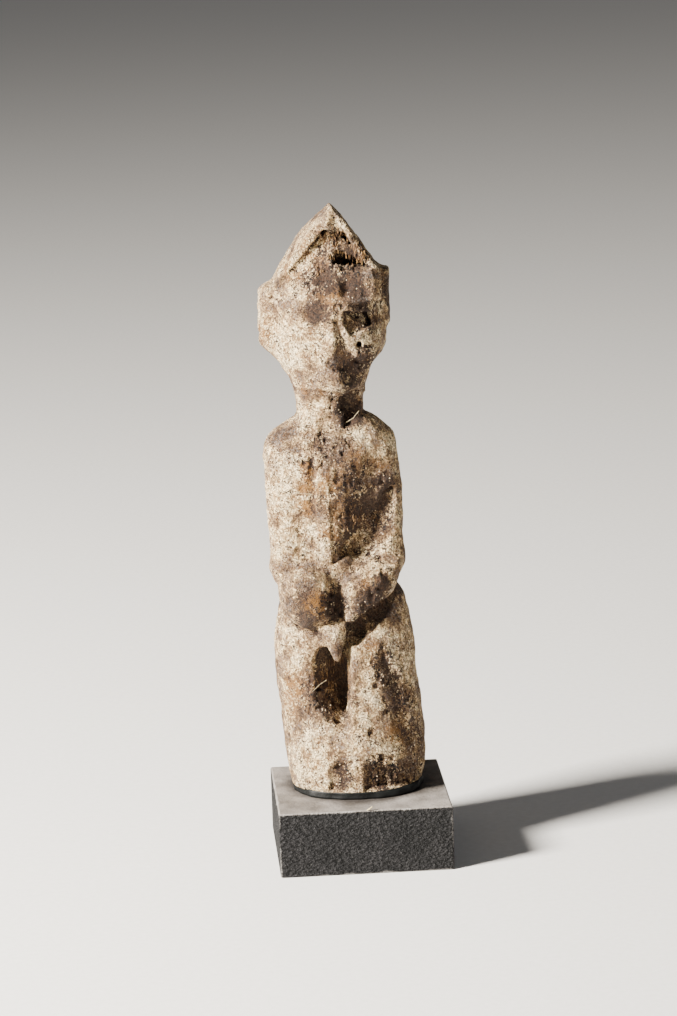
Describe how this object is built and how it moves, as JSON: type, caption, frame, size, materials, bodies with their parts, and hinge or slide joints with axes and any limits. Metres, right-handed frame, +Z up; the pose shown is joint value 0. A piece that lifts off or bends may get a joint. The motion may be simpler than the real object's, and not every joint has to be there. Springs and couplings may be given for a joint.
{
  "type": "carved fertility doll",
  "caption": "Weathered hand-carved wooden doll with a crested head and hands held to the belly, pinned upright on a square painted display block.",
  "frame": {"origin": "centre of the display block's underside", "axes": "+Z up along the doll, the doll faces -Y, +X to the viewer's right"},
  "size_m": [0.05, 0.05, 0.191],
  "materials": {
    "weathered_wood": "dry, pitted, pale crust over brown wood",
    "slate_grey_paint": "brushed matt grey paint over wood",
    "black_mounting_wax": "satin black wax",
    "steel_rod": "cut bright steel rod"
  },
  "bodies": {
    "root": {"carved_doll": "weathered_wood", "display_block": "slate_grey_paint", "wax_bed": "black_mounting_wax", "mounting_pin_left": "steel_rod", "mounting_pin_right": "steel_rod"}
  },
  "joints": []
}
